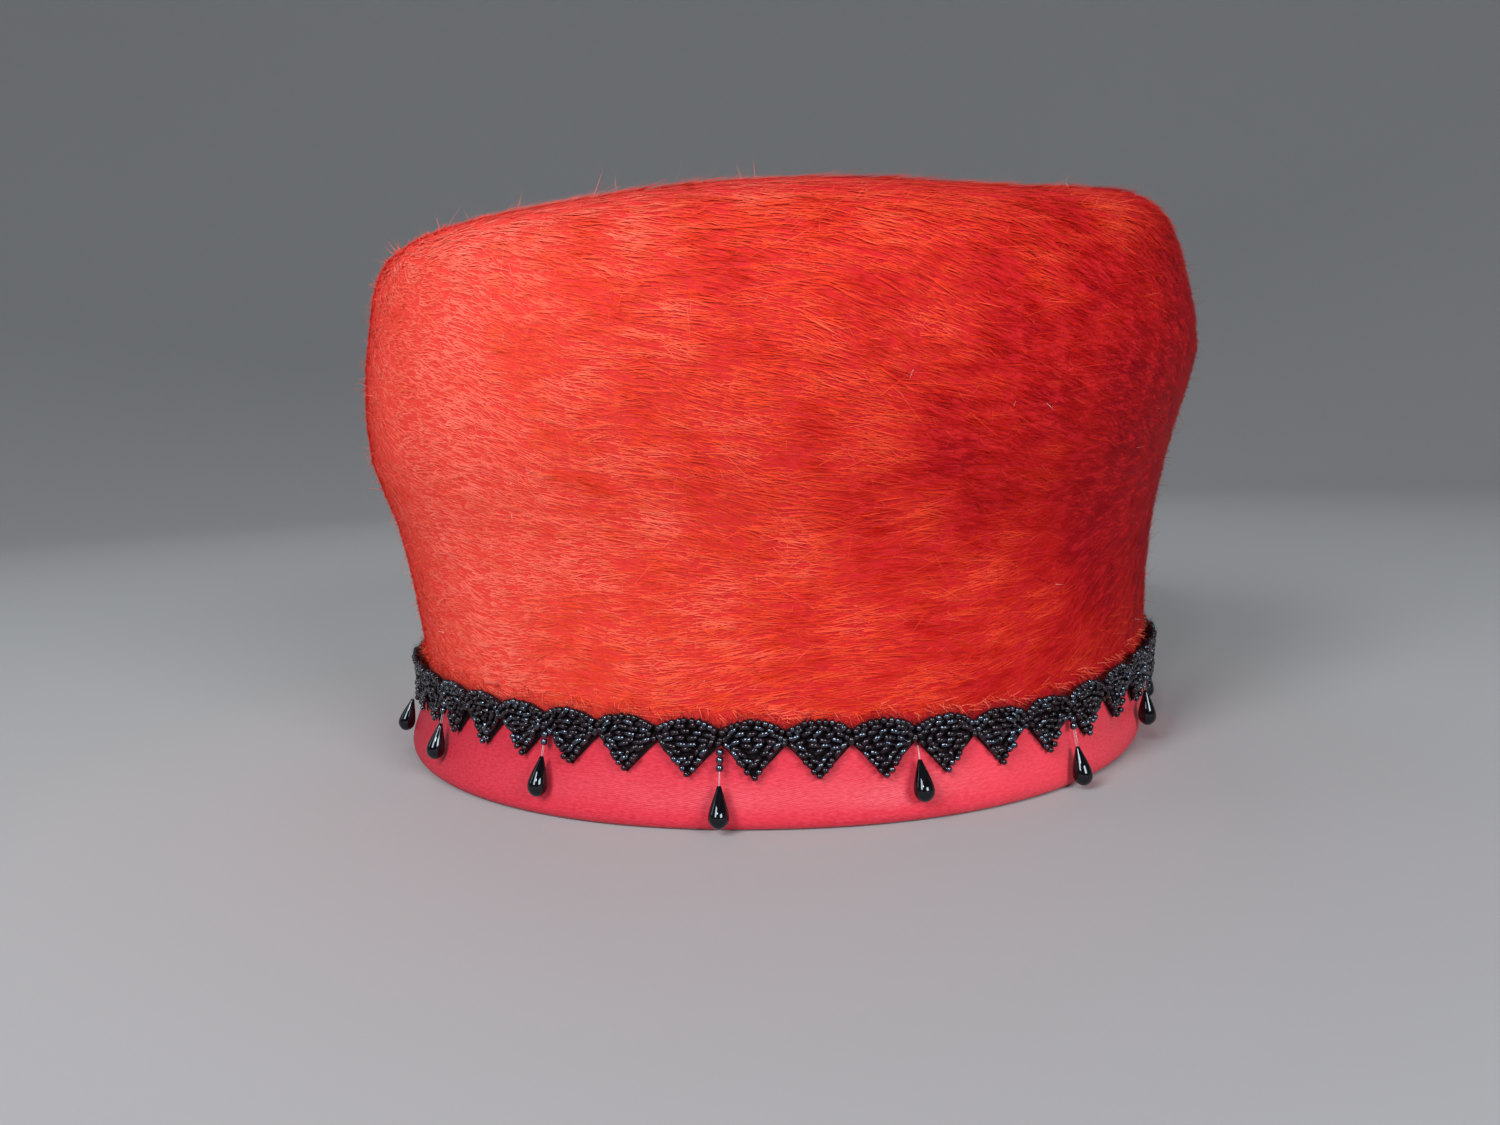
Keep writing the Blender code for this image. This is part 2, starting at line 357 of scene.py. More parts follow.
def noise(tree, place, scale, detail, **settings):
    """Make soft random mottling at a scale, with so much fine detail."""
    values = {"Vector": place, "Scale": scale, "Detail": detail}
    return add_node(tree, "ShaderNodeTexNoise", values, **settings).outputs[0]


def combine(tree, operation, first, second, clamp=False):
    """Add or multiply two values."""
    node = add_node(tree, "ShaderNodeMath", {0: first, 1: second}, operation=operation, use_clamp=clamp)
    return node.outputs[0]


def mix_values(tree, share, first, second):
    """Mix two values, by a share of the second."""
    return add_node(tree, "ShaderNodeMix", {0: share, 2: first, 3: second}).outputs[0]


def mix_colours(tree, factor, first, second):
    """Mix two colours, each one a colour or another node's output."""
    return add_node(tree, "ShaderNodeMix", {0: factor, 6: first, 7: second}, data_type="RGBA").outputs[2]


def remap(tree, value, low, high, to_low=0.0, to_high=1.0):
    """Stretch a value from one range to another, and keep it there."""
    values = {"Value": value, "From Min": low, "From Max": high, "To Min": to_low, "To Max": to_high}
    return add_node(tree, "ShaderNodeMapRange", values).outputs["Result"]


def tint(shader, share, first, second):
    """Colour the surface between two colours, by a share of the second."""
    feed(shader, "Base Color", mix_colours(shader.id_data, share, first, second))


def add_relief(shader, height, strength, deep, **settings):
    """Let a value raise the surface a little, in the light only."""
    values = {"Height": height, "Strength": strength, "Distance": deep}
    bump = add_node(shader.id_data, "ShaderNodeBump", values, **settings)
    feed(shader, "Normal", bump.outputs[0])


print("helpers for patterns ready")

# %% [markdown]
# Cloth, felt and fur are never one even colour: dye takes unevenly, and light patches
# drift over a hand's width with finer mottling inside them. One node group, built
# once, makes that drift from the piece's own Object coordinates, and every dyed or
# mottled finish uses it.

# %% The uneven dye group
DRIFT_SOCKETS = (("Broad Scale", 20.0), ("Fine Scale", 300.0), ("Fine Share", 0.4))

UNEVEN_DYE = bpy.data.node_groups.new("uneven dye", "ShaderNodeTree")
for label, usual in DRIFT_SOCKETS:
    socket = UNEVEN_DYE.interface.new_socket(label, in_out="INPUT", socket_type="NodeSocketFloat")
    socket.default_value = usual
UNEVEN_DYE.interface.new_socket("Drift", in_out="OUTPUT", socket_type="NodeSocketFloat")
given = add_node(UNEVEN_DYE, "NodeGroupInput").outputs
here = own_place(UNEVEN_DYE)
broad = noise(UNEVEN_DYE, here, given["Broad Scale"], 2.0)
fine = noise(UNEVEN_DYE, here, given["Fine Scale"], 3.0)
both = mix_values(UNEVEN_DYE, given["Fine Share"], broad, fine)
add_node(UNEVEN_DYE, "NodeGroupOutput", {"Drift": both})


def drift(tree, *values):
    """Use the uneven dye group, with a broad scale, a fine scale and a fine share."""
    labels = [label for label, _usual in DRIFT_SOCKETS]
    return add_node(tree, "ShaderNodeGroup", dict(zip(labels, values)), node_tree=UNEVEN_DYE).outputs[0]


print("group:", UNEVEN_DYE.name)

# %% [markdown]
# ## The felt under the fur
#
# Fur felt is a dense mat of short hair with long hair brushed out of it. The long hair
# comes next; first the mat it grows from, whose dark colour is painted shade between
# the locks, with painted sheen on the left of the front, and the plain pressed felt
# inside the crown. The shell keeps the frame's shape, with its triangles merged, so
# that both walls stay exactly where the solid has them.

# %% The felt's two finishes
# The mat's two dark colours are painted shade between the locks; the third is painted sheen on the left of
# the front.
MAT_SHADE_DEEP, MAT_SHADE_CLEAR, MAT_SHEEN = (0.40, 0.006, 0.011, 1), (0.52, 0.011, 0.014, 1), (0.95, 0.085, 0.055, 1)
INSIDE_DEEP, INSIDE_CLEAR = (0.36, 0.012, 0.010, 1), (0.55, 0.022, 0.016, 1)

mat_finish, tree, shader = new_finish("felt mat under the fur", Roughness=0.9, Specular_IOR_Level=0.1)
mottled = remap(tree, drift(tree, 25.0, 900.0, 0.6), 0.35, 0.65)
mat_tone = mix_colours(tree, mottled, MAT_SHADE_DEEP, MAT_SHADE_CLEAR)
# Painted sheen: the mat is lighter where its own value says so.
tint(shader, own_value(tree, "mat_sheen"), mat_tone, MAT_SHEEN)
add_relief(shader, mottled, 0.5, 0.3 * MM)

inside_finish, tree, shader = new_finish("pressed felt inside", Roughness=0.9, Sheen_Weight=0.25)
pressed = remap(tree, drift(tree, 18.0, 1400.0, 0.55), 0.3, 0.7)
tint(shader, pressed, INSIDE_DEEP, INSIDE_CLEAR)
add_relief(shader, pressed, 0.35, 0.15 * MM)
print("felt finishes:", mat_finish.name, "and", inside_finish.name)

# %% The felt shell
HAT_MIDDLE = Vector((0.0, 0.0, 0.06))


def faces_out(face):
    """Tell the outer wall of a shell from its inner wall."""
    return face.normal.dot(face.calc_center_median() - HAT_MIDDLE) > 0


felt = merged("crown")
felt.normal_update()
for face in felt.faces:
    face.material_index = 0 if faces_out(face) else 1
felt_mesh = to_mesh(felt, "felt_shell")
felt_shell = add_piece("felt_shell", felt_mesh, [mat_finish, inside_finish], ["crown"])

# %% [markdown]
# ## Where the hair grows, and which way it is brushed
#
# The hair is brushed round the crown from left to right. It falls a little towards
# the right near the top, runs level at mid height, and rises near the braid. A short
# table of angles at a few turns and heights says that, and everything between is
# blended from it. On the right side the coat is ruffled the wrong way. Its tone is
# painted paler on the left of the front, as painted sheen, and darker over the
# ruffled patch, as painted shade.

# %% The brushing directions
BRUSHED = (
    # turn   at rim  low   mid   high  edge   (degrees above level, looking from outside)
    (-180,     -4,    -4,   -6,   -8,  -12),
    (-90,      -3,    -4,   -6,   -9,  -12),
    (-50,      -2,    -3,   -7,  -13,  -17),
    (-20,       4,     1,   -6,  -17,  -22),
    (10,       14,     8,   -2,  -16,  -22),
    (40,       30,    22,    6,  -14,  -24),
    (65,       50,    34,   16,  -18,  -28),
    (90,       34,    26,   12,  -12,  -24),
    (135,       6,     4,    0,   -8,  -14),
    (180,      -4,    -4,   -6,   -8,  -12),
)
BRUSHED_HEIGHTS = np.array([20, 34, 56, 86, 108]) * MM


def brushed_angle(turn, height):
    """Blend the table: the hair's angle above level at arrays of turns and heights."""
    table = np.array(BRUSHED, float)
    columns = [np.interp(np.degrees(turn), table[:, 0], table[:, k]) for k in range(1, 6)]
    ladder = np.stack(columns, axis=1)
    rung = np.interp(height, BRUSHED_HEIGHTS, np.arange(5.0))
    low = np.minimum(rung.astype(int), 3)
    part = rung - low
    rows = np.arange(len(turn))
    return np.radians(ladder[rows, low] * (1 - part) + ladder[rows, low + 1] * part)


print("brushed from", BRUSHED[3][1], "to", BRUSHED[3][5], "degrees up the front")

# %% Where the coat is ruffled, and where sheen is painted on it
RUFFLED_TURN, RUFFLED_WIDE = radians(76), radians(46)
RUFFLED_HEIGHT, RUFFLED_BELOW, RUFFLED_ABOVE = 66 * MM, 46 * MM, 60 * MM
SHEEN_TURN, SHEEN_WIDE = radians(-41), radians(34)


def hill(values, middle, spread):
    """A smooth hill: 1 at its middle, fading to both sides."""
    return np.exp(-(((values - middle) / spread) ** 2))


def ruffled(turns, heights):
    """How far the coat is ruffled, 0 to 1: a patch on the right side, below mid height."""
    spread = np.where(heights < RUFFLED_HEIGHT, RUFFLED_BELOW, RUFFLED_ABOVE)
    return hill(turns, RUFFLED_TURN, RUFFLED_WIDE) * hill(heights, RUFFLED_HEIGHT, spread)


def painted_sheen(turns):
    """Where sheen is painted on the coat, 0 to 1: most on the left of the front."""
    return hill(turns, SHEEN_TURN, SHEEN_WIDE)


def waves(places, size, seed):
    """A smooth random field, mostly between -1 and 1, with hills of that size."""
    draw = np.random.default_rng(seed)
    total = np.zeros(len(places))
    for _ in range(6):
        heading = draw.normal(size=3)
        heading /= np.linalg.norm(heading)
        pace = tau / (size * draw.uniform(0.7, 1.5))
        total += np.sin(places @ heading * pace + draw.uniform(0, tau))
    return total / 3.0


print("ruffled at the middle of the patch:", ruffled(RUFFLED_TURN, RUFFLED_HEIGHT))

# %% [markdown]
# Roots are strewn evenly by area over the outer wall, and half as thickly over the
# tip. At every root the level direction round the crown and the direction up the wall
# make a small frame that the brushing angle is turned in.

# %% Helpers for directions
def unit(vectors):
    """Make every vector one long."""
    return vectors / np.maximum(np.linalg.norm(vectors, axis=-1, keepdims=True), 1e-12)


def square_to(vectors, normals):
    """Take out of each vector the part that runs along its normal."""
    return vectors - normals * np.sum(vectors * normals, axis=1, keepdims=True)


def between(first, second, angles):
    """Turn each first direction by an angle towards the second, which is square to it."""
    return first * np.cos(angles)[:, None] + second * np.sin(angles)[:, None]


def hair_axes(normals, tips, widths, deep):
    """Give each hair's three axes: across it, into the coat, and out to its tip."""
    side = unit(np.cross(normals, tips)) * widths
    flat = unit(np.cross(tips, side)) * deep
    return np.stack([side, flat, tips], axis=1)


def brush_frame(places, normals):
    """Give the level and the upward direction along the surface at each place."""
    away = places - np.array(AXIS)
    level = np.stack([-away[:, 1], away[:, 0], np.zeros(len(away))], axis=1)
    level = unit(square_to(level, normals))
    return level, np.cross(normals, level)


print("helpers for directions ready")

# %% Strew the roots
HIDDEN_FOOT = 12 * MM
LEVEL_ENOUGH, TIP_SHARE = 0.8, 0.5

skin = merged("crown")
skin.normal_update()
bmesh.ops.triangulate(skin, faces=skin.faces)
skin.normal_update()
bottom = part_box("crown")[0].z + HIDDEN_FOOT
kept = [face for face in skin.faces if faces_out(face) and face.calc_center_median().z > bottom]
SKIN_CORNERS = np.array([[corner.vert.co[:] for corner in face.loops] for face in kept])
SKIN_NORMALS = np.array([[corner.vert.normal[:] for corner in face.loops] for face in kept])
skin.free()
skin_places = SKIN_CORNERS.reshape(-1, 3)
skin_faces = np.arange(len(skin_places)).reshape(-1, 3)
felt_tree = BVHTree.FromPolygons(skin_places.tolist(), skin_faces.tolist())


def strew(count, draw):
    """Pick random places on the outer wall: their places and normals."""
    first, second, third = np.moveaxis(SKIN_CORNERS, 1, 0)
    share = np.linalg.norm(np.cross(second - first, third - first), axis=1)
    share *= np.where(SKIN_NORMALS[:, :, 2].mean(axis=1) > LEVEL_ENOUGH, TIP_SHARE, 1.0)
    chosen = np.searchsorted(np.cumsum(share) / share.sum(), draw.random(count))
    first, second = np.sqrt(draw.random(count)), draw.random(count)
    weights = np.stack([1 - first, first * (1 - second), first * second], axis=1)
    places = np.einsum("nk,nkj->nj", weights, SKIN_CORNERS[chosen])
    normals = unit(np.einsum("nk,nkj->nj", weights, SKIN_NORMALS[chosen]))
    return places, normals


print("outer wall triangles:", len(SKIN_CORNERS))

# %% [markdown]
# ## Locks and hairs
#
# Long hair gathers in locks: neighbouring hairs lean towards one another and meet at
# their tips, and between locks the mat shows dark. So locks are strewn first, each
# with its own small change of direction, lift and tone; then every hair joins the
# nearest lock. A hair is a closed spike with three sides, the fewest that still catch
# light as a round thread does, because there are more than a hundred thousand.

# %% Make the locks
LOCK_COUNT = 40000
LOCK_SWAY, LOCK_TURN, LOCK_LIFT = radians(8), radians(6), radians(1.2)
TONE_MIDDLE, TONE_WAVES, TONE_LOCKS, RUFFLED_EVEN = 0.29, 0.11, 0.035, 0.75

draw = np.random.default_rng(11)
lock_places, lock_normals = strew(LOCK_COUNT, draw)
lock_level, lock_upward = brush_frame(lock_places, lock_normals)
lock_angle = brushed_angle(turn_of(lock_places), lock_places[:, 2])
lock_angle += LOCK_SWAY * waves(lock_places, 26 * MM, 3) + draw.normal(0, LOCK_TURN, LOCK_COUNT)
lock_along = unit(between(lock_level, lock_upward, lock_angle))
lock_rough = ruffled(turn_of(lock_places), lock_places[:, 2])
lock_tone = TONE_WAVES * waves(lock_places, 20 * MM, 4) + draw.normal(0, TONE_LOCKS, LOCK_COUNT)
lock_tone = TONE_MIDDLE + lock_tone * (1 - RUFFLED_EVEN * lock_rough)
lock_lift = draw.normal(0, LOCK_LIFT, LOCK_COUNT)

nearest_lock = KDTree(LOCK_COUNT)
for number, place in enumerate(lock_places):
    nearest_lock.insert(place, number)
nearest_lock.balance()
print("locks:", LOCK_COUNT)

# %% One hair as a template
# The spike is one long and one wide, and its flat side faces +Y.
SPIKE_CORNERS = ((-0.5, 0, 0), (0.5, 0, 0), (0, -1, 0), (0, -0.3, 1))

spike = bmesh.new()
left, right, under, tip = [spike.verts.new(corner) for corner in SPIKE_CORNERS]
for corners in ((left, right, tip), (right, under, tip), (under, left, tip), (right, left, under)):
    spike.faces.new(corners)
HAIR = template_of(spike)
FLAT_SIDE = {corner for corner, place in enumerate(HAIR[0]) if place[1] > -0.5}
print("hair template:", len(HAIR[0]), "corners,", len(HAIR[1]), "faces")

# %% Settle hairs on the felt
CLEAR_OF_FELT, MAT_SHEEN_SHARE = 0.2 * MM, 0.5


def over_felt(points):
    """Look up the felt under each point: the nearest place on it and the way it faces."""
    found = [felt_tree.find_nearest(point) for point in points]
    return np.array([hit[0][:] for hit in found]), np.array([hit[1][:] for hit in found])


def settle(roots, tips, clear):
    """Put each tip at its own height over the felt, higher where a bend comes between."""
    places, normals = over_felt(tips)
    tips = places + normals * clear[:, None]
    middles = (roots + tips) / 2
    places, facing_out = over_felt(middles)
    sunk = np.sum((places - middles) * facing_out, axis=1) + CLEAR_OF_FELT
    return tips + normals * np.maximum(sunk * 2, 0)[:, None]


# Painted sheen on the mat, lighter on the left of the front.
sheen_share = painted_sheen(turn_of(corner_places(felt_shell.data)))
store_value(felt_shell.data, "mat_sheen", MAT_SHEEN_SHARE * sheen_share)
print("nap on the felt, at most:", round(float(MAT_SHEEN_SHARE * sheen_share.max()), 2))

# %% Grow the coat
HAIR_COUNT = 165000
LENGTH_MEAN, LENGTH_SPREAD, LENGTH_LIMITS = 7.8 * MM, 1.5 * MM, (2.5 * MM, 11 * MM)
HAIR_WIDTH, HAIR_DEPTH = 0.34 * MM, 0.15
HAIR_LIFT, LIFT_SPREAD, LIFT_LIMITS = radians(3.6), radians(1.3), (radians(2), radians(60))
RAISED, STRAY_LIFT = radians(3), 0.4
PRESSED_TURN, PRESSED_WIDE, PRESSED_SHARE = radians(-82), radians(26), 0.3
SWAY, RUFFLED_SWAY, RUFFLED_SHORTER = radians(4), radians(18), 0.25
LOCK_PULL, PULLS, WIDTHS = 0.3, (0.5, 1.2), (0.7, 1.3)
ROOT_DEPTH = 0.25 * MM
UNDER_BRAID, OVER_BRAID, SHORTEST_SHARE = 0.9 * MM, 1.2 * MM, 0.25
EDGE_FOOT, EDGE_TALL = 98 * MM, 12 * MM
# Painted light in the tones: paler on the left of the front and near the top edge is painted sheen, and
# darker over the ruffled patch is painted shade.
TONE_HAIRS, SHEEN_PALER, EDGE_SHEEN, RUFFLED_SHADE, STRAY_PALER = 0.03, 0.48, 0.13, 0.58, 0.45


def grow(count, draw, length=LENGTH_MEAN, width=HAIR_WIDTH, lift=HAIR_LIFT, stray=0.0):
    """Grow hairs: their roots, three axes each, tones, and the way the felt faces there."""
    roots, normals = strew(count, draw)
    turns, heights = turn_of(roots), roots[:, 2]
    kept = heights > braid_edge(turns) - UNDER_BRAID
    roots, normals, turns, heights = roots[kept], normals[kept], turns[kept], heights[kept]
    count = len(roots)
    lock = np.array([nearest_lock.find(place)[1] for place in roots])
    along = unit(square_to(lock_along[lock], normals))
    rough = ruffled(turns, heights)
    sway = draw.normal(0, 1, count) * (SWAY + stray + RUFFLED_SWAY * rough)
    along = between(along, np.cross(normals, along), sway)
    near_edge = np.clip((heights - EDGE_FOOT) / EDGE_TALL, 0, 1)
    raise_by = lift + lock_lift[lock] + draw.normal(0, LIFT_SPREAD + stray * STRAY_LIFT, count)
    raise_by *= 1 - PRESSED_SHARE * hill(turns, PRESSED_TURN, PRESSED_WIDE)
    raise_by = np.clip(raise_by + RAISED * near_edge + RAISED * rough, *LIFT_LIMITS)
    long = np.clip(draw.normal(length, LENGTH_SPREAD, count), *LENGTH_LIMITS) * (1 - RUFFLED_SHORTER * rough)
    tips = between(along, normals, raise_by) * long[:, None]
    aside = square_to(square_to(lock_places[lock] - roots, along), normals)
    tips += aside * (LOCK_PULL * draw.uniform(*PULLS, count))[:, None]
    fall = np.maximum(heights - (roots + tips)[:, 2], 1e-9)
    spare = heights - braid_edge(turn_of(roots + tips)) + OVER_BRAID
    tips *= np.clip(spare / fall, SHORTEST_SHARE, 1.0)[:, None]
    tips = settle(roots, roots + tips, np.sin(raise_by) * np.linalg.norm(tips, axis=1)) - roots
    axes = hair_axes(normals, tips, (width * draw.uniform(*WIDTHS, count))[:, None], width * HAIR_DEPTH)
    # Painted sheen and painted shade go into each hair's tone here.
    tone = lock_tone[lock] + draw.normal(0, TONE_HAIRS, count) + SHEEN_PALER * painted_sheen(turns)
    tone = np.clip(tone + EDGE_SHEEN * near_edge - RUFFLED_SHADE * rough + STRAY_PALER * stray, 0, 1)
    return roots - normals * ROOT_DEPTH, axes, tone, normals


coat = grow(HAIR_COUNT, np.random.default_rng(21))
print("hairs in the coat:", len(coat[0]))

# %% Normals for light on a hair
HAIR_ROLL, HAIR_ROUND, SIDE_SOFTNESS = 0.06, 0.2, 0.8


def hair_normals(axes, skin, draw):
    """Normals for light, for every face corner of every hair.

    The flat side turns as the coat does, rolled a little about each hair's own line, so
    that light runs softly over the coat. The two sides below keep their own directions,
    softened towards the coat's.
    """
    places, faces = HAIR
    across = unit(axes[:, 0])
    roll = draw.normal(0, HAIR_ROLL, len(axes))
    made = []
    for face in faces:
        first, second, third = (np.einsum("k,nkj->nj", places[corner], axes) for corner in face)
        own = unit(np.cross(second - first, third - first))
        for corner in face:
            turned = unit(skin + across * (roll + places[corner, 0] * HAIR_ROUND)[:, None])
            made.append(turned if set(face) == FLAT_SIDE else unit(own + SIDE_SOFTNESS * skin))
    return np.stack(made, axis=1)


print("normals on a hair:", 3 * len(HAIR[1]))

# %% [markdown]
# The hair's finish: dark crimson at the root, where neighbours shade it, clear scarlet
# along its length, then orange, and a paler pink-red at the tip. How far it goes from
# one to the other is the hair's own tone, which carries painted sheen and painted
# shade: the orange and pale pink-red are partly the tip's own colour and partly
# painted sheen where the tone is high, on the left of the front, and the dark crimson
# is painted shade over the ruffled patch. A slow drift in the dye and streaks drawn
# out along the brushing are added to the tone, less of them where the coat is dark.
# The gloss is low, warm, and stretched across the hair, as it is on many fine threads
# side by side.

# %% The hair's finish
# FUR_DARK is also painted shade over the ruffled patch; the pale pink-red is the tip and painted sheen.
FUR_DARK, FUR_MID = (0.25, 0.0015, 0.009, 1), (0.67, 0.014, 0.003, 1)
FUR_GLOW, FUR_TIPS_AND_SHEEN = (0.86, 0.098, 0.045, 1), (1.0, 0.215, 0.155, 1)
WARM_GLOSS = (1.0, 0.62, 0.50, 1)

hair_finish, tree, shader = new_finish(
    "long dyed hair", Roughness=0.5, Specular_IOR_Level=0.05, Specular_Tint=WARM_GLOSS, Anisotropic=0.6
)
across = add_node(tree, "ShaderNodeAttribute", attribute_name="across")
feed(shader, "Tangent", across.outputs["Vector"])
tone, along = own_value(tree, "tone"), own_value(tree, "along")
strand_place = add_node(tree, "ShaderNodeCombineXYZ", {"X": own_value(tree, "strand"), "Y": along})
strands = noise(tree, strand_place.outputs[0], 3.0, 1.0, noise_dimensions="2D")
streaks = noise(tree, stretched(tree, own_place(tree), (0.22, 0.22, 1.0)), 420.0, 2.0)
dyed = remap(tree, drift(tree, 22.0, 160.0, 0.35), 0.36, 0.64, -0.12, 0.12)
dyed = combine(tree, "ADD", dyed, remap(tree, strands, 0.3, 0.7, -0.05, 0.05))
dyed = combine(tree, "ADD", dyed, remap(tree, streaks, 0.35, 0.65, -0.11, 0.11))
dyed = combine(tree, "MULTIPLY", dyed, remap(tree, tone, 0.05, 0.65, 0.22))
toned = combine(tree, "ADD", tone, dyed, clamp=True)
add_relief(shader, strands, 0.2, 0.05 * MM)
root_shade = remap(tree, along, 0.0, 0.45, 0.85)
root_shade = combine(tree, "MULTIPLY", remap(tree, toned, 0.0, 0.4, 0.10), root_shade)
# Painted sheen: where the tone is high, the hair turns orange and pale pink-red.
tips_and_sheen = combine(tree, "MULTIPLY", remap(tree, toned, 0.20, 1.0), remap(tree, along, 0.1, 0.9, 0.65))
length_tint = mix_colours(tree, root_shade, FUR_DARK, FUR_MID)
glowing = mix_colours(tree, remap(tree, tips_and_sheen, 0.0, 0.5), length_tint, FUR_GLOW)
tint(shader, remap(tree, tips_and_sheen, 0.35, 1.0), glowing, FUR_TIPS_AND_SHEEN)
print("finish:", hair_finish.name)

# %% Lay the coat in a few pieces
HAIR_PIECES = 4


def lay_hair(name, hairs, finish, seed):
    """Lay one mesh of hairs with their light, tones and strands."""
    roots, axes, tones, skin_normals = hairs
    draw = np.random.default_rng(seed)
    values = {"tone": tones, "along": np.repeat(HAIR[0][None, :, 2], len(roots), 0)}
    values["strand"] = 2 * HAIR[0][None, :, 0] + draw.uniform(0, 500, len(roots))[:, None]
    light = hair_normals(axes, skin_normals, draw)
    mesh = lay_copies(name, HAIR, roots, axes, values, light, unit(axes[:, 0]))
    return add_piece(name, mesh, [finish])


order = np.argsort(turn_of(coat[0]), kind="stable")
for number, members in enumerate(np.array_split(order, HAIR_PIECES), start=1):
    lay_hair(f"fur_{number:02d}", [part[members] for part in coat], hair_finish, 40 + number)

# %% [markdown]
# A few thousand finer hairs stray from the brushed coat: they cross it at all angles
# and stand a little higher. Shorter ones, fine as down, stand up steeply and soften
# the outline. A few short white fibres of lint have settled on it, as they do on
# every worn hat.

# %% Stray hairs and lint
LOOSE_HAIRS = (
    # name           count  seed  length  width (mm)  lift  stray (degrees)
    ("stray_hairs",   5200,   51,    7.6,  0.13,       12,   17),
    ("standing_down", 5500,   55,    3.2,  0.075,      34,   40),
    ("lint",            70,   61,    1.1,  0.08,       30,   60),
)
LINT_GREY, LINT_WHITE = (0.55, 0.45, 0.47, 1), (0.90, 0.84, 0.86, 1)

lint_finish, tree, shader = new_finish("white lint", Roughness=0.7)
tint(shader, own_value(tree, "tone"), LINT_GREY, LINT_WHITE)
for name, count, seed, length, width, lift, stray in LOOSE_HAIRS:
    hairs = grow(count, np.random.default_rng(seed), length * MM, width * MM, radians(lift), radians(stray))
    lay_hair(name, hairs, lint_finish if name == "lint" else hair_finish, seed + 1)

# %% [markdown]
# ## The satin band
#
# The rim is bound with a strip of satin, folded in two round the felt's edge. Satin
# shows a fine slanting weave, a soft broad sheen that is drawn out round the rim, and
# small puckers where the strip is eased round the curve. The frame's band is smoothed
# with two rounds of subdivision and gently eased in and out; a flat map along and
# across the strip carries the weave, and a value of its own sets painted light: the
# satin is painted dark at the left, as painted shade, and pale towards the front
# right, as painted sheen. The weave's lighter threads are partly painted sheen. The
# strip is cut 37 mm wide and 0.60 m long, once round the rim.

# %% The satin's finish
# The dark colours are painted shade, at the left, and the pale ones painted sheen, towards the front right;
# the lighter thread colours are partly painted sheen.
SATIN_SHADE = (0.36, 0.005, 0.018, 1), (0.41, 0.008, 0.025, 1)
SATIN_SHEEN = (0.65, 0.029, 0.046, 1), (0.71, 0.036, 0.058, 1)
SATIN_THREADS_SHADE_TO_SHEEN = (0.58, 0.035, 0.065, 1), (0.86, 0.085, 0.125, 1)

satin_finish, tree, shader = new_finish("folded satin", Specular_IOR_Level=0.29, Anisotropic=0.8)
run_round = add_node(tree, "ShaderNodeTangent", direction_type="RADIAL", axis="Z")
feed(shader, "Tangent", run_round.outputs[0])
strip = add_node(tree, "ShaderNodeUVMap", uv_map="strip").outputs[0]
slanted = add_node(tree, "ShaderNodeMapping", {"Vector": strip, "Rotation": (0, 0, radians(78))})
ribs = {"Vector": slanted.outputs[0], "Scale": 900.0, "Distortion": 1.2, "Detail": 1.0}
twill = add_node(tree, "ShaderNodeTexWave", ribs).outputs["Fac"]
threads = noise(tree, stretched(tree, strip, (0.55, 1.3, 1.0)), 1700.0, 2.0)
woven = mix_values(tree, 0.86, twill, threads)
satin_sheen = own_value(tree, "satin_sheen")
uneven = remap(tree, drift(tree, 30.0, 250.0, 0.3), 0.35, 0.65)
deep, pale = mix_colours(tree, uneven, *SATIN_SHADE), mix_colours(tree, uneven, *SATIN_SHEEN)
# Painted shade to painted sheen, by the satin's own value.
cloth_tone = mix_colours(tree, satin_sheen, deep, pale)
thread_tone = mix_colours(tree, satin_sheen, *SATIN_THREADS_SHADE_TO_SHEEN)
thread_share = remap(tree, woven, 0.32, 0.7, 0.0, 0.6)
tint(shader, thread_share, cloth_tone, thread_tone)
feed(shader, "Roughness", remap(tree, woven, 0.2, 0.8, 0.50, 0.36))
add_relief(shader, woven, 0.5, 0.08 * MM)
print("finish:", satin_finish.name)

# %% Smooth and ease the band
JOINED_UNDER = radians(60)
OUTER_FROM, OUTER_FADE = 84 * MM, 2 * MM
EASED_FROM, EASED_TALL, EASED_DEEP = 1.5 * MM, 12 * MM, 0.55
CREASE_TURN, CREASE_LONG, CREASE_DEEP = radians(50), 0.10, 1.2
CREASE_HEIGHT, CREASE_WIDE = 8 * MM, 1.6 * MM
# Where the satin's painted shade turns to painted sheen round the rim, in degrees.
SATIN_SHEEN_TURNS = (-180, -100, -62, -30, 10, 34, 75, 120, 180)
SATIN_SHEEN_SHARES = (0.4, 0.2, 0.0, 0.33, 0.44, 1.0, 1.0, 0.6, 0.4)

cloth = merged("satin_band")
bmesh.ops.join_triangles(
    cloth, faces=cloth.faces, angle_face_threshold=JOINED_UNDER, angle_shape_threshold=JOINED_UNDER
)
band_mesh = to_mesh(cloth, "satin_band_cloth")
band = add_piece("satin_band_cloth", band_mesh, [satin_finish], ["satin_band"])
smoother = band.modifiers.new("smoother", "SUBSURF")
smoother.levels = smoother.render_levels = 2
bpy.context.view_layer.update()
band_mesh = bpy.data.meshes.new_from_object(band.evaluated_get(bpy.context.evaluated_depsgraph_get()))
band.modifiers.clear()
band.data = band_mesh
places = corner_places(band_mesh)
turns, heights = turn_of(places), places[:, 2]
outward = unit((places - np.array(AXIS)) * [1, 1, 0])
reach = np.sum((places - np.array(AXIS)) * outward, axis=1)
is_outer = np.clip((reach - OUTER_FROM) / OUTER_FADE, 0, 1)
height_share = np.clip(np.sin(np.clip((heights - EASED_FROM) / EASED_TALL, 0, 1) * pi), 0, 1)
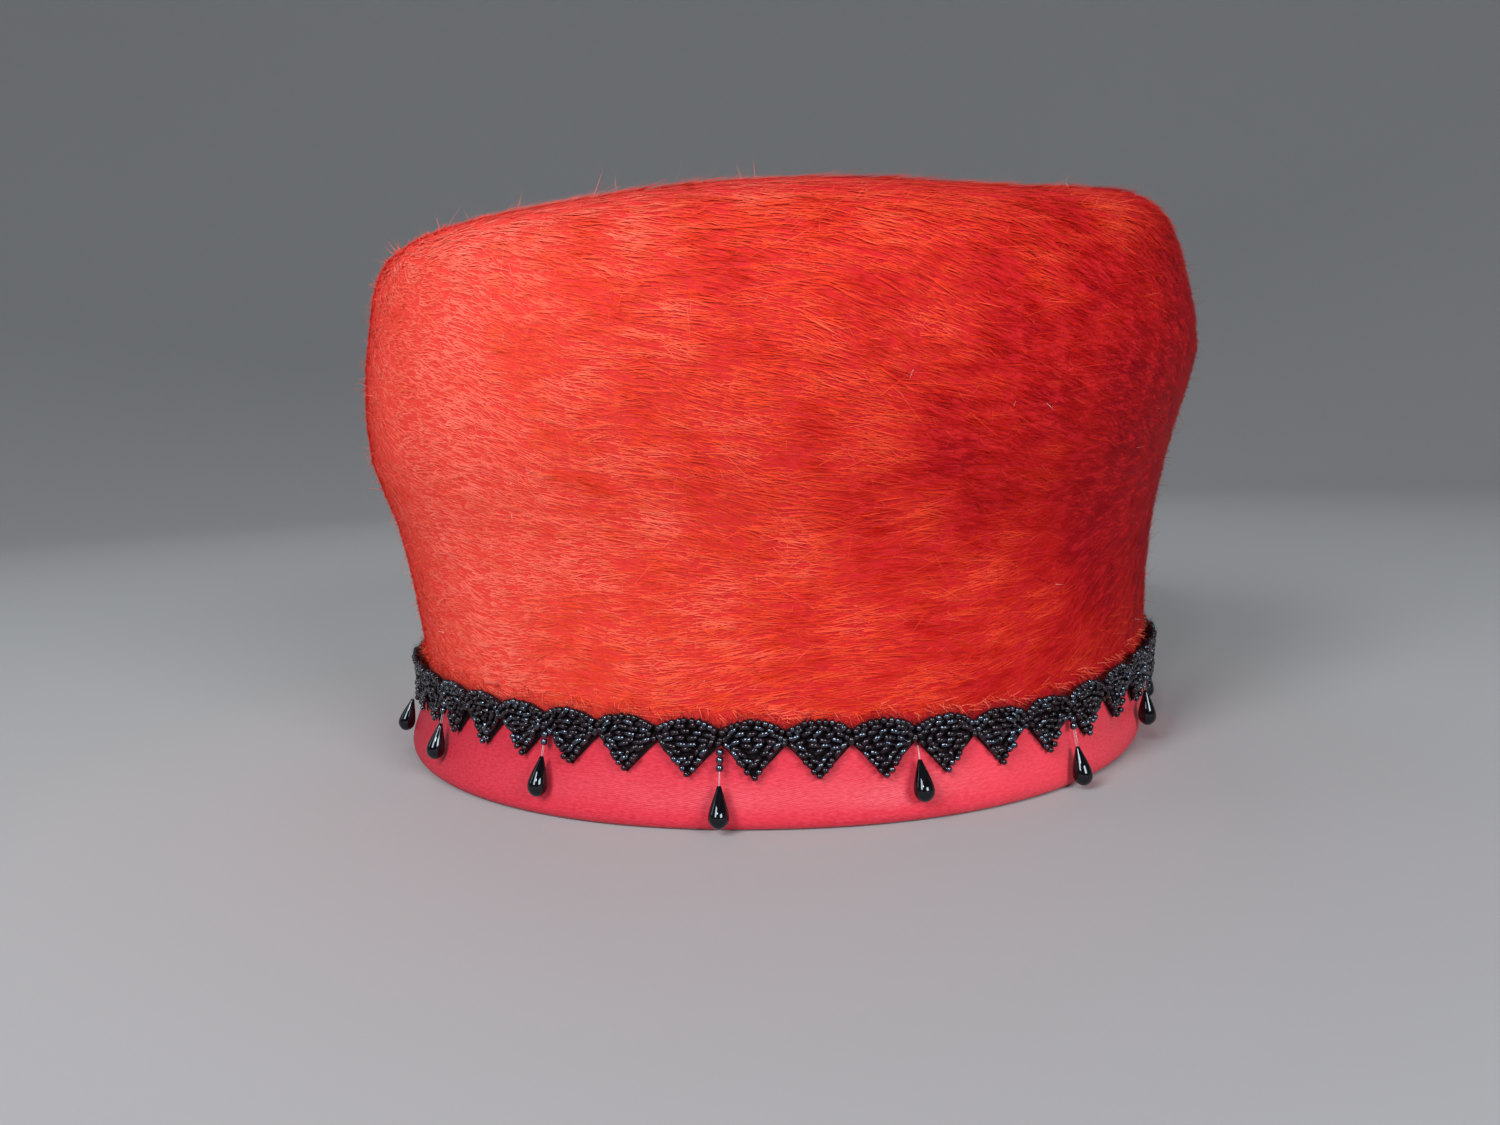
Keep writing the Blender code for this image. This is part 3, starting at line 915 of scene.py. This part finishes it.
puckers = waves(places * [1, 1, 0.25], 16 * MM, 7) * 0.35 + waves(places * [1, 1, 0.4], 7 * MM, 8) * 0.12
crease = hill(turns, CREASE_TURN, CREASE_LONG) * hill(heights, CREASE_HEIGHT, CREASE_WIDE)
eased = (puckers * EASED_DEEP - crease * CREASE_DEEP) * MM * height_share * is_outer
move_corners(band_mesh, places + outward * eased[:, None])
band_mesh.shade_smooth()
# The satin's painted shade and sheen, stored by turn.
store_value(band_mesh, "satin_sheen", np.interp(np.degrees(turns), SATIN_SHEEN_TURNS, SATIN_SHEEN_SHARES))
print("satin eased by up to", round(float(np.abs(eased).max() / MM), 2), "mm")

# %% Map the strip
RIM_RADIUS = 96 * MM

strip_map = band_mesh.uv_layers.new(name="strip")
spread = np.zeros((len(band_mesh.loops), 2), np.float32)
for face in band_mesh.polygons:
    corners = list(face.vertices)
    here = turns[corners]
    if here.max() - here.min() > pi:
        here = np.where(here < 0, here + tau, here)
    spread[list(face.loop_indices), 0] = here * RIM_RADIUS
    spread[list(face.loop_indices), 1] = heights[corners]
strip_map.data.foreach_set("uv", spread.ravel())
print("strip mapped:", len(band_mesh.loops), "corners")

# %% [markdown]
# ## The beaded braid
#
# The braid is black net, cut in scallops and paved with glass: an arch of round seed
# beads, rows of short tube beads under it, and a pointed leaf below with seed beads
# down both edges. One scallop is laid out flat in a table, in millimetres across and
# up from its tip, and then repeated round the rim, each bead pushed a little off its
# place as hand sewing leaves it.

# %% [markdown]
# Seed beads are short round barrels with a hole, and tube beads are longer and
# straight, cut off square. Each is an outline of (along, radius) spun about the bead's
# own hole, which lies along X, and kept to a few dozen faces. A seed is shaded smooth
# all over; a tube only round its sides, so that its ends stay flat.

# %% Bead templates
SEED_OUTLINE = ((-0.42, 0.16), (-0.46, 0.34), (-0.24, 0.5), (0.24, 0.5), (0.46, 0.34), (0.42, 0.16))
TUBE_OUTLINE = ((-0.5, 0.18), (-0.5, 0.5), (0.5, 0.5), (0.5, 0.18))

SEED = template_of(spun(SEED_OUTLINE, ROUND_X, 6, closed=True))
TUBE = template_of(spun(TUBE_OUTLINE, ROUND_X, 8, closed=True))
TUBE_ROUND = [np.ptp(TUBE[0][face][:, 0]) > 0.5 for face in TUBE[1]]
print("seed faces:", len(SEED[1]), "tube faces:", len(TUBE[1]))

# %% One scallop, laid out flat
SEED_SIZE = 1.28 * MM
TUBE_LONG, TUBE_WIDE = 1.92 * MM, 1.05 * MM
ARCH_SEEDS, ARCH_HALF, ARCH_FOOT, ARCH_CROWN = 11, 5.4, 8.5, 10.55
ARCH_BEND, ARCH_LEAN = 1.18, 1.7
LEAF_BOW, LEAF_LEAN = 0.5, 0.84
ROW_SAG, ROW_LEAN, SHORT_ROW_LEAN = 0.5, 0.12, 0.5


def leaf_side(count, start, end, side):
    """Beads down one edge of the leaf, from its shoulder to near the tip."""
    beads = []
    for step in range(count):
        t = (step + 0.5) / count
        across = start[0] + (end[0] - start[0]) * t
        up = start[1] + (end[1] - start[1]) * t + LEAF_BOW * sin(t * pi)
        beads.append((across * side, up, -side * LEAF_LEAN))
    return beads


TUBE_ROWS = (
    # beads, half width, height, slope of the halves
    (4, 3.3, 9.6, 0.5),
    (5, 4.0, 8.5, 0.4),
    (4, 3.2, 7.3, 0.3),
    (4, 2.8, 6.2, -0.3),
    (3, 1.9, 5.1, -0.5),
    (2, 0.8, 3.9, -0.6),
    (1, 0.0, 2.7, 0.0),
)
SHOULDER = (-4.9, 7.0)
LONE_SEEDS = [(0.0, 0.7, 0.0), (-5.75, 7.3, 1.4), (5.7, 6.4, 1.4)]

# A bead's place is (across, up, slope of its hole): the arch, its rows, then both edges.
SEED_PLACES, TUBE_PLACES = [], []
rise = ARCH_CROWN - ARCH_FOOT
for step in range(ARCH_SEEDS):
    t = -1 + 2 * (step + 0.5) / ARCH_SEEDS
    across = ARCH_HALF * sin(t * ARCH_BEND) / sin(ARCH_BEND)
    up = ARCH_FOOT + rise * (cos(t * ARCH_BEND) - cos(ARCH_BEND)) / (1 - cos(ARCH_BEND))
    SEED_PLACES.append((across, up, -t * ARCH_BEND * rise / ARCH_HALF * ARCH_LEAN))
SEED_PLACES += LONE_SEEDS
for count, half, up, slope in TUBE_ROWS:
    for step in range(count):
        t = 0.0 if count == 1 else -1 + 2 * step / (count - 1)
        lean = SHORT_ROW_LEAN if count < 3 else ROW_LEAN
        TUBE_PLACES.append((half * t, up - ROW_SAG * t * t, -slope * t + lean))
for side in (-1, 1):
    SEED_PLACES += leaf_side(3, (-2.6, 3.4), (-0.6, 0.95), side) + leaf_side(1, SHOULDER, SHOULDER, side)
    TUBE_PLACES += leaf_side(2, (-5.0, 6.4), (-2.5, 3.5), side)
print("beads in a scallop:", len(SEED_PLACES), "seeds,", len(TUBE_PLACES), "tubes")

# %% Sew the beads on
CLOTH_GAP = 0.3 * MM
MIDDLE_UP = 6 * MM
PUSHED_ACROSS, PUSHED_UP, ROCKED = 0.10, 0.09, 0.16
BEAD_SIZES, BEAD_DEPTHS = (0.9, 1.08), (0.55, 0.79)


def sew(places, long, wide, tilt, seed):
    """Lay beads for every scallop, each one tilted a little: their places and axes."""
    draw = np.random.default_rng(seed)
    origins, axes = [], []
    for turn, height in zip(tip_turns, tip_heights):
        radius = (on_hat(turn, height + MIDDLE_UP)[0] - AXIS).xy.length
        for across, up, slope in places:
            across, up = across + draw.normal(0, PUSHED_ACROSS), up + draw.normal(0, PUSHED_UP)
            at, out = on_bed(turn + across * MM / radius, height + up * MM)
            round_rim = Vector((0, 0, 1)).cross(out).normalized()
            up_wall = out.cross(round_rim)
            lean = slope + draw.normal(0, tilt)
            hole = round_rim * cos(lean) + up_wall * sin(lean) + out * draw.normal(0, ROCKED)
            hole.normalize()
            beside = (Quaternion(hole, draw.uniform(0, tau)) @ out).cross(hole).normalized()
            size = draw.uniform(*BEAD_SIZES)
            origins.append(at + out * (CLOTH_GAP + wide * draw.uniform(*BEAD_DEPTHS)))
            axes.append([hole * long * size, beside * wide * size, hole.cross(beside) * wide * size])
    return np.array(origins), np.array(axes), draw.random(len(origins))


seeds = sew(SEED_PLACES, SEED_SIZE * 0.86, SEED_SIZE, 0.4, 31)
tubes = sew(TUBE_PLACES, TUBE_LONG, TUBE_WIDE, 0.22, 32)
print("sewn:", len(seeds[0]), "seed beads and", len(tubes[0]), "tube beads")

# %% [markdown]
# Jet glass is nearly black, with a hard polish and cool highlights; the little red-brown
# in its colour is a painted reflection of the red fur and satin around it. About a
# third of the beads are lustred: a thin metallic film makes them reflect more, and
# bluer. So the same glass is made twice, with a lower and a higher index, and each
# bead's own number says which it gets and how fine its polish is.

# %% The jet glass finish
# Near black, with a red-brown tint that is a painted reflection of the red fur and satin.
JET_RED_REFLECTION_DEEP, JET_RED_REFLECTION_CLEAR = (0.005, 0.0022, 0.0034, 1), (0.013, 0.0055, 0.008, 1)
COOL, COOLER = (0.80, 0.91, 1.0, 1), (0.62, 0.80, 1.0, 1)
LUSTRE_SHARE = 0.32


def jet_glass(name, index, gloss):
    """Black glass with the same polish, more or less mirror-like by its index."""
    finish, tree, shader = new_finish(name, IOR=index, Specular_Tint=gloss)
    tone = own_value(tree, "tone")
    tint(shader, tone, JET_RED_REFLECTION_DEEP, JET_RED_REFLECTION_CLEAR)
    feed(shader, "Roughness", remap(tree, tone, 0.0, 1.0, 0.01, 0.06))
    return finish


plain_glass = jet_glass("jet glass beads", 1.5, COOL)
lustred_glass = jet_glass("lustred jet beads", 2.1, COOLER)
BEADS = (("braid_seed_beads", SEED, seeds, True), ("braid_tube_beads", TUBE, tubes, TUBE_ROUND))
for name, template, (origins, axes, tones), smooth in BEADS:
    lustred = tones < LUSTRE_SHARE
    for label, chosen, finish in (("plain", ~lustred, plain_glass), ("lustred", lustred, lustred_glass)):
        full_name, values = f"{name}_{label}", {"tone": tones[chosen]}
        mesh = lay_copies(full_name, template, origins[chosen], axes[chosen], values, smooth=smooth)
        add_piece(full_name, mesh, [finish])

# %% The net under the beads
NET_DEEP, NET_CLEAR = (0.004, 0.0025, 0.003, 1), (0.010, 0.006, 0.008, 1)
SOLID_DEPTHS, NET_DEPTHS = (0.3 * MM, 1.9 * MM), (0.05 * MM, 0.25 * MM)
UNDER_EDGE = 0.7 * MM

net_finish, tree, shader = new_finish("black net", Roughness=0.75, Specular_IOR_Level=0.15)
cells = {"Vector": own_place(tree), "Scale": 1400.0}
holes = add_node(tree, "ShaderNodeTexVoronoi", cells, feature="DISTANCE_TO_EDGE").outputs[0]
tint(shader, remap(tree, holes, 0.0, 0.2, 1.0, 0.0), NET_DEEP, NET_CLEAR)
add_relief(shader, holes, 0.6, 0.1 * MM, invert=True)
net = merged("bead_braid")
bmesh.ops.subdivide_edges(net, edges=net.edges, cuts=1, use_grid_fill=True)
net_mesh = to_mesh(net, "braid_net")
places = corner_places(net_mesh)
cloth_side = np.array([on_bed(turn, height)[0][:] for turn, height in zip(turn_of(places), places[:, 2])])
away = places - cloth_side
depth = np.linalg.norm(away, axis=1, keepdims=True)
places = cloth_side + away / depth * np.interp(depth, SOLID_DEPTHS, NET_DEPTHS)
places[:, 2] = np.minimum(places[:, 2], braid_edge(turn_of(places)) - UNDER_EDGE)
move_corners(net_mesh, places)
add_piece("braid_net", net_mesh, [net_finish], ["bead_braid"])

# %% [markdown]
# The join between braid and fur is soft. Ends of the net's own fibres stand up from the
# scallops' edge in a black fuzz, which also stands in for the shade along that edge, and
# short red hairs fall over the first row of beads.

# %% Fuzz along the braid's upper edge
def fuzz(bed, proud, count, seed, start, angle, length, width, lift):
    """Short hairs along the braid's edge, in millimetres and degrees.

    Start is the lowest and highest height over the edge, and angle, from level, is a
    middle and a spread; length and lift are a least and a most.
    """
    draw = np.random.default_rng(seed)
    turns = draw.uniform(-pi, pi, count)
    heights = braid_edge(turns) + draw.uniform(*start, count) * MM
    beds = [bed(turn, height) for turn, height in zip(turns, heights)]
    normals = unit(np.array([normal[:] for _place, normal in beds]))
    places = np.array([place[:] for place, _normal in beds]) + normals * proud * MM
    angles = draw.normal(*np.radians(angle), count)
    along = between(*brush_frame(places, normals), angles)
    rise = draw.uniform(*np.radians(lift), count)
    tips = between(along, normals, rise) * (draw.uniform(*length, count) * MM)[:, None]
    axes = hair_axes(normals, tips, width * MM, width * MM * HAIR_DEPTH)
    return places, axes, draw.random(count), normals


# The black fuzz is partly the net's fibre ends and partly a dark stand-in for the shade along the braid's
# upper edge.
net_ends_and_shade = fuzz(on_bed, 0.8, 6500, 71, (-1.2, -0.2), (75, 38), (1.2, 2.8), 0.07, (5, 35))
lay_hair("net_fuzz_and_shade", net_ends_and_shade, net_finish, 72)
fur_ends = fuzz(on_hat, 0.0, 1500, 81, (0.3, 1.7), (-30, 36), (1.8, 3.6), 0.15, (20, 45))
lay_hair("fur_over_braid", fur_ends, hair_finish, 82)

# %% [markdown]
# ## Drops and threads
#
# Each drop is a pressed glass pear, drilled from above, on a doubled clear thread, most
# of them with two or three seed beads to keep it off the braid. A drop's outline is
# spun about its own axis, and that axis is read from the frame's plainer drop.

# %% Read where the drops hang
def axis_of(node):
    """Find the line of a turned piece: its top and its bottom."""
    points = corner_places(NODES[node].data)
    middle = points.mean(0)
    _weights, directions = np.linalg.eigh(np.cov((points - middle).T))
    line = directions[:, -1] * np.sign(directions[2, -1])
    reach = (points - middle) @ line
    centre = points - middle - np.outer(reach, line)
    middle = middle + (centre.max(0) + centre.min(0)) / 2
    return middle + line * reach.max(), middle + line * reach.min()


DROP_NODES = sorted(name for name in NODES if name.startswith("drop_bead"))
THREAD_NODES = sorted(name for name in NODES if name.startswith("drop_thread"))
drop_lines = [axis_of(name) for name in DROP_NODES]
thread_lines = [axis_of(name) for name in THREAD_NODES]
print("first drop from", np.round(drop_lines[0][0] / MM, 1), "to", np.round(drop_lines[0][1] / MM, 1))

# %% Spin the drops
DROP_OUTLINE = (
    # down, radius in millimetres: the hole and its rim, then the pear down to its tip
    (1.0, 0.0), (1.0, 0.20), (0.05, 0.22), (0.0, 0.30), (0.12, 0.40), (0.6, 0.54),
    (1.4, 0.80), (2.3, 1.12), (3.2, 1.42), (4.1, 1.67), (4.9, 1.83), (5.6, 1.89),
    (6.2, 1.79), (6.8, 1.45), (7.25, 0.98), (7.5, 0.50), (7.6, 0.0),
)
DROP_DEEP, DROP_CLEAR = (0.0008, 0.0007, 0.001, 1), (0.003, 0.002, 0.003, 1)


def hanging(top, bottom):
    """The length of a line and three directions for a piece that hangs along it."""
    down = Vector(bottom - top)
    return down.length, (-down).to_track_quat("Z", "X").to_matrix().col


drop_length = DROP_OUTLINE[-1][0]
pear = [(wide / drop_length, -down / drop_length) for down, wide in DROP_OUTLINE]
DROP = template_of(spun(pear, ROUND_Z, 28))
drop_finish, tree, shader = new_finish("jet glass drops", IOR=1.5, Specular_Tint=COOL)
swirled = drift(tree, 90.0, 500.0, 0.3)
tint(shader, swirled, DROP_DEEP, DROP_CLEAR)
feed(shader, "Roughness", remap(tree, swirled, 0.3, 0.7, 0.01, 0.03))
tops, axes = [], []
for top, bottom in drop_lines:
    length, directions = hanging(top, bottom)
    tops.append(top)
    axes.append([direction * length for direction in directions])
mesh = lay_copies("glass_drops", DROP, tops, axes, {})
add_piece("glass_drops", mesh, [drop_finish], DROP_NODES)

# %% String the threads
THREAD_WIDE = 0.11 * MM
THREAD_DULL, THREAD_CLEAR = (0.62, 0.60, 0.62, 1), (0.90, 0.88, 0.90, 1)
STRAND_GAPS = (0.16 * MM, 0.30 * MM, 0.14 * MM, 0.20 * MM)
STOP_COUNTS = (2, 3, 0, 2)
FIRST_STOP, STOP_STEP = 0.6, 1.38
STOP_LONG, STOP_WIDE = SEED_SIZE * 1.1, SEED_SIZE * 1.08

strand = bmesh.new()
bmesh.ops.create_cone(strand, cap_ends=True, cap_tris=True, segments=6, radius1=0.5, radius2=0.5, depth=1.0)
bmesh.ops.translate(strand, verts=strand.verts, vec=(0, 0, -0.5))
thread_finish, tree, shader = new_finish("clear thread", Roughness=0.2, IOR=1.5, Transmission_Weight=0.6)
tint(shader, drift(tree, 200.0, 2500.0, 0.5), THREAD_DULL, THREAD_CLEAR)
origins, axes, stops, stop_axes = [], [], [], []
for number, (top, bottom) in enumerate(thread_lines):
    length, (across, beside, along) = hanging(top, bottom)
    for side in (-1, 1):
        origins.append(Vector(top) + across * STRAND_GAPS[number % 4] * side)
        axes.append([across * THREAD_WIDE, beside * THREAD_WIDE, along * length])
    for stop in range(STOP_COUNTS[number % 4]):
        stops.append(Vector(top) - along * (FIRST_STOP + stop * STOP_STEP) * MM)
        stop_axes.append([along * STOP_LONG, across * STOP_WIDE, beside * STOP_WIDE])
mesh = lay_copies("drop_threads", template_of(strand), origins, axes, {})
add_piece("drop_threads", mesh, [thread_finish], THREAD_NODES)
tones = {"tone": np.random.default_rng(5).random(len(stops))}
mesh = lay_copies("thread_stop_beads", SEED, stops, stop_axes, tones)
add_piece("thread_stop_beads", mesh, [lustred_glass])

# %% [markdown]
# ## The studio
#
# The hat stands on a pale floor that curves up into a round wall, so that the ground
# looks the same from every side. A tall soft window light comes from the left in
# front, with a weak one beside the hat; a wide one fills the right; a small one high
# in front gives the beads and drops their glints; and one from above and behind
# draws the edge of the fur.

# %% Floor and wall
FLOOR_DEEP, FLOOR_CLEAR = (0.37, 0.37, 0.375, 1), (0.40, 0.40, 0.405, 1)
FLAT_REACH, BEND, WALL_HIGH = 0.9, 1.0, 2.0

floor_finish, tree, shader = new_finish("pale floor", Roughness=0.8)
tint(shader, drift(tree, 1.2, 60.0, 0.15), FLOOR_DEEP, FLOOR_CLEAR)
bend = [(FLAT_REACH + BEND * sin(a), BEND - BEND * cos(a)) for a in np.linspace(0.06, pi / 2, 24)]
profile = [(0.0, 0.0), (FLAT_REACH, 0.0), *bend, (FLAT_REACH + BEND, WALL_HIGH)]
floor_mesh = to_mesh(spun(profile, ROUND_Z, 96), "studio_floor")
floor_mesh.materials.append(floor_finish)
floor = to_scene("studio_floor", floor_mesh)
print("floor triangles:", len(floor_mesh.polygons) * 2)

# %% Lights
def soft_light(name, place, size, power, colour):
    """A rectangular studio light that looks at the hat."""
    lamp = bpy.data.lights.new(name, "AREA")
    lamp.shape, (lamp.size, lamp.size_y) = "RECTANGLE", size
    lamp.energy, lamp.color = power, colour
    light = to_scene(name, lamp)
    light.location = place
    light.rotation_euler = (HAT_MIDDLE - Vector(place)).to_track_quat("-Z", "Y").to_euler()


DAYLIGHT = (0.93, 0.97, 1.0)

soft_light("window", (-0.57, -0.89, 0.65), (0.34, 0.62), 11.2, DAYLIGHT)
soft_light("side window", (-1.05, -0.12, 0.50), (0.3, 0.5), 0.9, DAYLIGHT)
soft_light("front", (0.56, -1.00, 0.46), (0.45, 0.36), 9.4, DAYLIGHT)
soft_light("glint", (-0.28, -1.02, 0.72), (0.09, 0.12), 2.6, (0.90, 0.95, 1.0))
soft_light("edge", (-0.15, 0.75, 0.85), (0.8, 0.4), 2.5, (1.0, 1.0, 1.0))
world = bpy.data.worlds.new("studio air")
world.use_nodes = True
air = world.node_tree.nodes["Background"].inputs
air["Color"].default_value, air["Strength"].default_value = (0.70, 0.76, 0.86, 1), 0.18
bpy.context.scene.world = world
bpy.context.scene.view_settings.view_transform = "Standard"
print("lights: window, side window, front, glint, edge")

# %% Camera
CAMERA_PLACE = (-0.00835, -0.3116, 0.0715)
LOOKS_DOWN, LEANS = radians(6.32), radians(-2.22)

lens = bpy.data.cameras.new("studio camera")
lens.sensor_width, lens.lens = 36.0, 29.11
lens.clip_start, lens.clip_end = 0.01, 20.0
camera = to_scene("studio camera", lens)
tilt = Matrix.Rotation(pi / 2 - LOOKS_DOWN, 4, "X") @ Matrix.Rotation(LEANS, 4, "Z")
camera.matrix_world = Matrix.Translation(CAMERA_PLACE) @ tilt
bpy.context.scene.camera = camera
print("camera at", [round(c, 4) for c in camera.matrix_world.translation])

# %% Finish
print("scene built")
